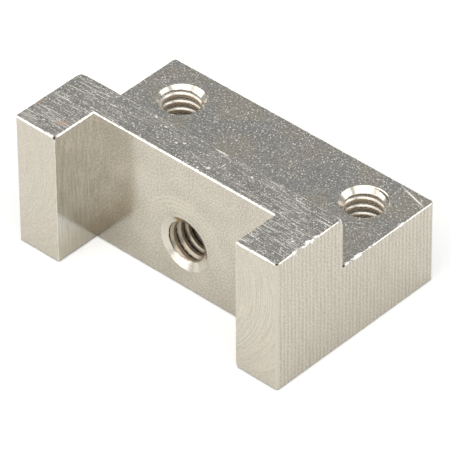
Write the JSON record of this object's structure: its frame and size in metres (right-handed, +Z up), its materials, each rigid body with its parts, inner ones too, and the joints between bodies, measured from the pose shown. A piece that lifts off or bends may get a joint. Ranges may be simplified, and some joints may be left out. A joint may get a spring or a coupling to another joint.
{
  "type": "machined mounting block",
  "caption": "Milled aluminium mounting block: ears either side of an open pocket at the front, a low ledge behind, and tapped, countersunk holes in the ledge and the pocket wall.",
  "frame": {"origin": "middle of the base, at the centre of the block's bounding box from above", "axes": "+X along the length, -Y the side that the ears point to, +Y the ledge, +Z up"},
  "size_m": [0.045, 0.0298, 0.0204],
  "materials": {
    "milled_aluminium": "as milled"
  },
  "bodies": {
    "root": {"mounting_block": "milled_aluminium"}
  },
  "joints": []
}
